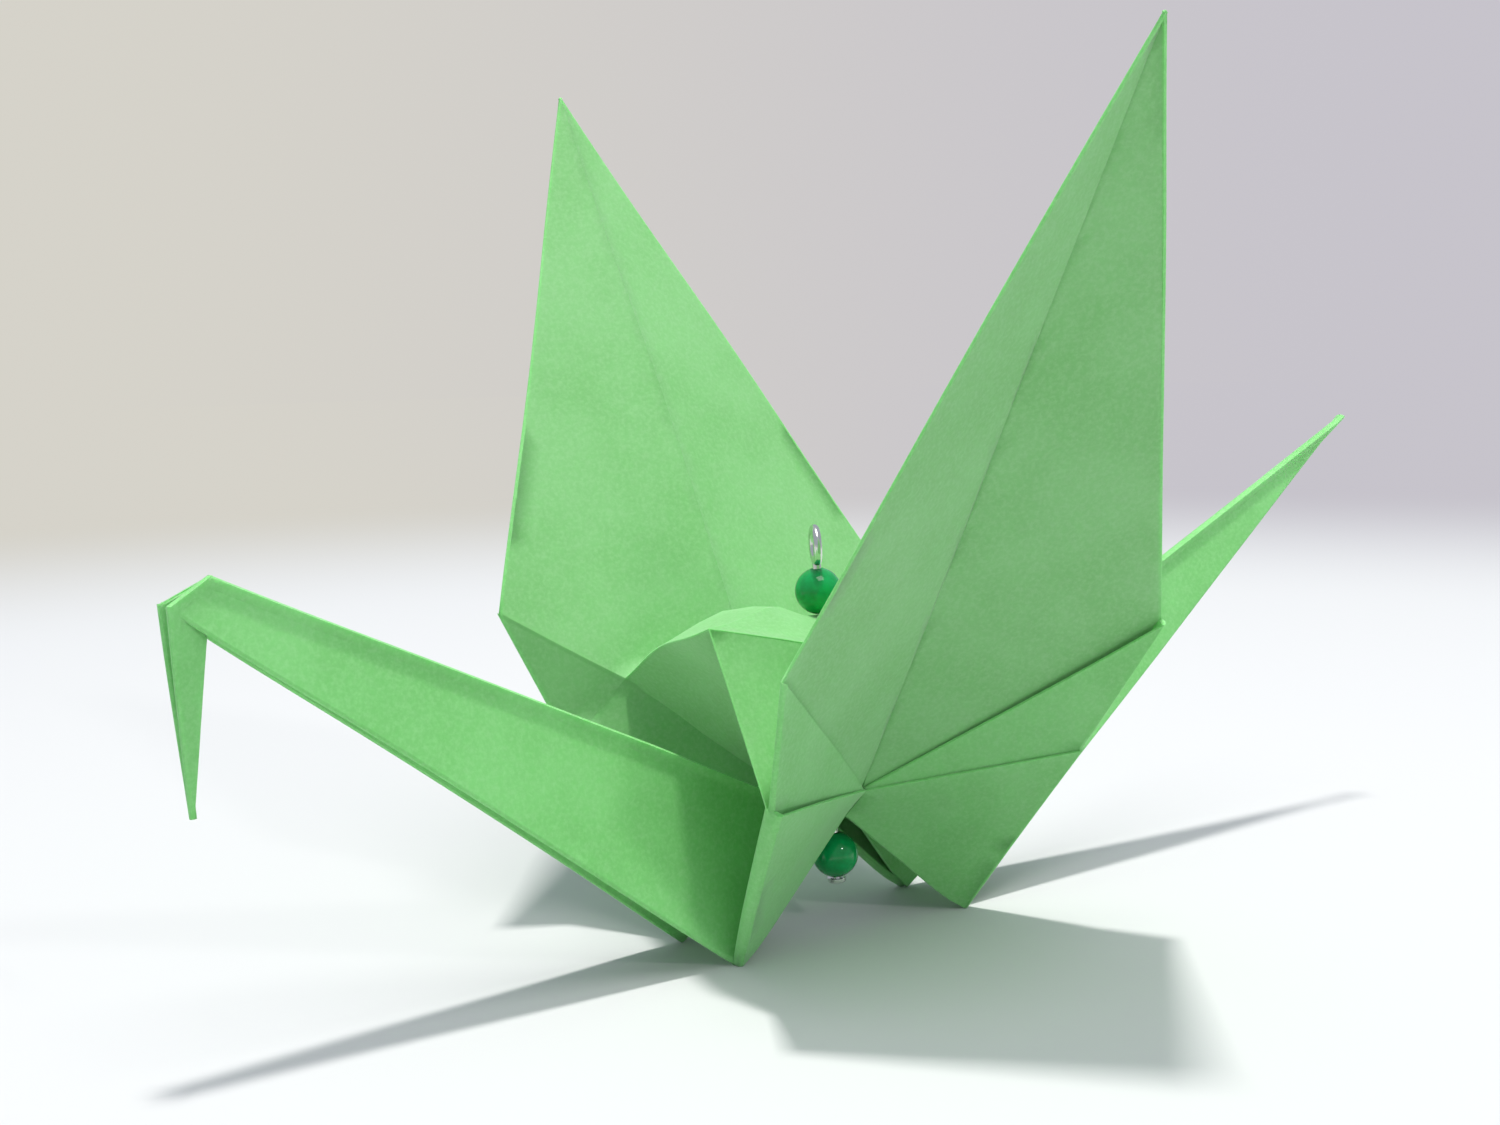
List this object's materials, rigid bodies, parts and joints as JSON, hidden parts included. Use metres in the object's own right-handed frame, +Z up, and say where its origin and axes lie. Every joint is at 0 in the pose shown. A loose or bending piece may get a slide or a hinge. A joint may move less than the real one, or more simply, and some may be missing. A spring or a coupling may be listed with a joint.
{
  "type": "origami crane",
  "caption": "Folded paper crane with raised wings, long neck and tail, pierced by a fine pin that carries beads and a hanging eye.",
  "frame": {"origin": "point on the supporting surface below the middle of the back, between the feet", "axes": "+X towards the tail, +Y towards the left wing of the bird, +Z up"},
  "size_m": [0.1268, 0.0756, 0.0741],
  "materials": {
    "green_paper": "matte",
    "pin_metal": "polished",
    "bead_glass": "gloss"
  },
  "bodies": {
    "crane": {"folded_crane": "green_paper"},
    "pin": {"head_pin": "pin_metal"},
    "upper_bead": {"top_bead": "bead_glass"},
    "lower_bead": {"bottom_bead": "bead_glass"}
  },
  "joints": [
    {"name": "pin_turn", "type": "hinge", "parent": "crane", "child": "pin", "pos_m": [0, 0, 0.0272], "axis": [-0.0381, 0.0238, 0.999], "continuous": true},
    {"name": "upper_bead_turn", "type": "hinge", "parent": "pin", "child": "upper_bead", "pos_m": [-0.00008, 0.00005, 0.02933], "axis": [-0.0381, 0.0238, 0.999], "continuous": true},
    {"name": "lower_bead_turn", "type": "hinge", "parent": "pin", "child": "lower_bead", "pos_m": [0.0008, -0.0005, 0.0062], "axis": [-0.0381, 0.0238, 0.999], "continuous": true}
  ]
}
